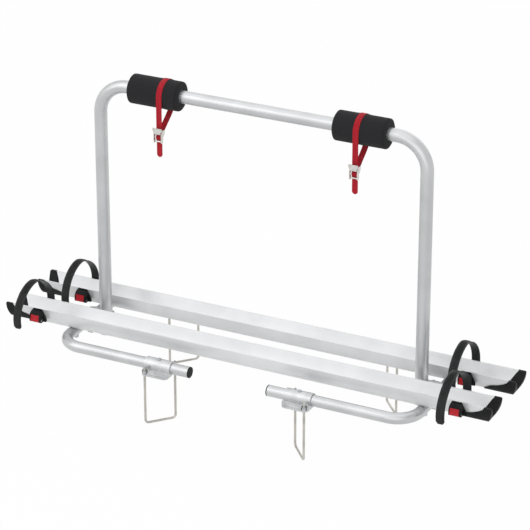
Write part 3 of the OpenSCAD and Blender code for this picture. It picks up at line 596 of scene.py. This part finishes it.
# Red frame straps: webbing that hangs in front, goes up over the sleeve and down behind it, and turns
# round the buckle's rear bar. Both have the same route, worked out in millimetres from the top bar's axis.
def webbingRoute(w):
    wrapR = foamPad["outer"] + w["padGap"] + w["thick"] / 2
    leave, turned = math.radians(w["leave"]), math.radians(w["wrapStart"])
    barY, barZ = w["bar"]
    start = (wrapR * math.cos(leave), wrapR * math.sin(leave))
    sink = (start[0] + w["fall"] * math.sin(leave), start[1] - w["fall"] * math.cos(leave))
    meet = (barY + w["wrap"] * math.cos(turned), barZ + w["wrap"] * math.sin(turned))
    slant = (-math.sin(turned), math.cos(turned))
    climb, flat = [(meet[0] + w[way] * slant[0], meet[1] + w[way] * slant[1]) for way in ("climb", "flat")]
    endZ, bend = w["strandEnd"], w["tailBend"]
    tail = (w["tailBack"] - wrapR, endZ - bend)
    path = [(tail[0], w["tail"]), tail]
    path += bezierPoints(tail, (tail[0], tail[1] + bend / 2), (-wrapR - w["tailBow"], endZ - bend / 2),
                         (-wrapR, endZ), w["tailSteps"])
    path += arcPoints(0, 0, wrapR, 180, w["leave"], w["overSteps"])
    path += bezierPoints(start, sink, climb, flat, w["strandSteps"])
    path += arcPoints(barY, barZ, w["wrap"], w["wrapStart"], w["wrapStart"] - w["turn"], w["wrapSteps"])
    return Route([(y, foamPad["barZ"] + z) for y, z in path])


for side in sides:
    w = webbing
    route = webbingRoute(w)
    half, thick, edge = w["width"] / 2 * mm, w["thick"] / 2 * mm, w["edge"] * mm
    marks = [half * (1 - math.cos(math.pi / 2 * i / w["tipSteps"])) + w["tipGap"] * mm
             for i in range(w["tipSteps"])]
    marks += [half + (route.length - half) * i / w["steps"] for i in range(w["steps"] + 1)]

    def webSection(s):
        h = math.sqrt(max(0, half * half - (half - s) ** 2)) if s < half else half
        h = max(h, w["tipLeast"] * mm)
        e = min(edge, h / 2)
        steps = w["acrossSteps"]
        inner = [(-h + e + (2 * h - 2 * e) * k / steps, thick) for k in range(steps + 1)]
        return ([(-h, -thick + e), (-h, thick - e)] + inner + [(h, thick - e), (h, -thick + e)]
                + [(-a, -o) for a, o in inner])

    bm = bmesh.new()
    sweepBand(bm, route, w["x"][side] * mm, marks, webSection)
    node = f"frame_strap_{side}"
    newPiece(f"webbing_{side}", bm, "red_webbing", bodyOf(node), [node], w["sharpAngle"])
print("frame straps done")


# Floor, backdrop light and camera

# 1 for rays that reach the eye straight, by a reflection or through something clear, and otherwise 0
def seenByEye(tree):
    rays = addNode(tree, "ShaderNodeLightPath")
    seen = rays.outputs["Is Camera Ray"]
    for kind in ("Is Glossy Ray", "Is Transmission Ray"):
        either = addNode(tree, "ShaderNodeMath", {0: seen, 1: rays.outputs[kind]}, operation="MAXIMUM")
        seen = either.outputs[0]
    return seen


# White floor that keeps a share of the object's shadow
stage = {"floorZ": -135.5, "size": 12, "shadow": 0.03, "paint": "#E6E6E6"}
bm = bmesh.new()
bmesh.ops.create_grid(bm, x_segments=1, y_segments=1, size=stage["size"],
                      matrix=Matrix.Translation((0, 0, stage["floorZ"] * mm)))
floorMesh = bpy.data.meshes.new("floor")
bm.to_mesh(floorMesh)
bm.free()
floor = linked("floor", floorMesh)
floorPaint = bpy.data.materials.new("studio floor")
floorPaint.use_nodes = True
tree = floorPaint.node_tree
tree.nodes.clear()
paint = addNode(tree, "ShaderNodeBsdfDiffuse", {"Color": hexLinear(stage["paint"])})
glow = addNode(tree, "ShaderNodeEmission", {"Color": white, "Strength": 1.0})
share = addNode(tree, "ShaderNodeMath", {0: seenByEye(tree), 1: 1 - stage["shadow"]}, operation="MULTIPLY")
blend = addNode(tree, "ShaderNodeMixShader", {0: share.outputs[0], 1: paint.outputs[0], 2: glow.outputs[0]})
addNode(tree, "ShaderNodeOutputMaterial", {"Surface": blend.outputs[0]})
floorMesh.materials.append(floorPaint)
floor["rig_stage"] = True

# White to the eye and in reflections, a softer level as light on the object
sky = {"ambient": 0.74}
world = bpy.data.worlds.new("studio")
bpy.context.scene.world = world
world.use_nodes = True
tree = world.node_tree
tree.nodes.clear()
level = addNode(tree, "ShaderNodeMapRange", {
    "Value": seenByEye(tree), "To Min": sky["ambient"], "To Max": 1.0})
glow = addNode(tree, "ShaderNodeBackground", {"Color": white, "Strength": level.outputs[0]})
addNode(tree, "ShaderNodeOutputWorld", {"Surface": glow.outputs[0]})

# Large soft boxes; each looks at the middle of the rack
lampAim = Vector((0, 0, 0.25))
lamps = {
    "top": {"place": (-0.6, -0.8, 3.2), "size": 4.5, "power": 31},
    "key": {"place": (-2.6, -2.6, 2.4), "size": 3.2, "power": 27},
    "fill": {"place": (0.9, -3.6, 0.7), "size": 4, "power": 34},
    "back": {"place": (0.2, 3.2, 2.6), "size": 4, "power": 20},
}
for name, lamp in lamps.items():
    light = bpy.data.lights.new(name, "AREA")
    light.shape = "SQUARE"
    light.size = lamp["size"]
    light.energy = lamp["power"]
    stand = linked(name, light)
    stand.location = lamp["place"]
    stand.rotation_euler = (lampAim - stand.location).to_track_quat("-Z", "Y").to_euler()

# Camera fitted to the photograph's tubes and rails
view = {"place": (2.61906, -5.22114, 2.90605), "turn": 26.50981, "tilt": 24.376252,
        "lens": 179.345, "sensor": 36}
camera = bpy.data.cameras.new("camera")
camera.sensor_width = view["sensor"]
camera.lens = view["lens"]
tripod = linked("camera", camera)
tripod.location = view["place"]
tripod.rotation_euler = (math.radians(90 - view["tilt"]), 0, math.radians(view["turn"]))
bpy.context.scene.camera = tripod
bpy.context.scene.view_settings.view_transform = "Standard"
print("stage, lamps and camera done")

[[list(corner) for corner in box] for box in (cadBox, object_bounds())]
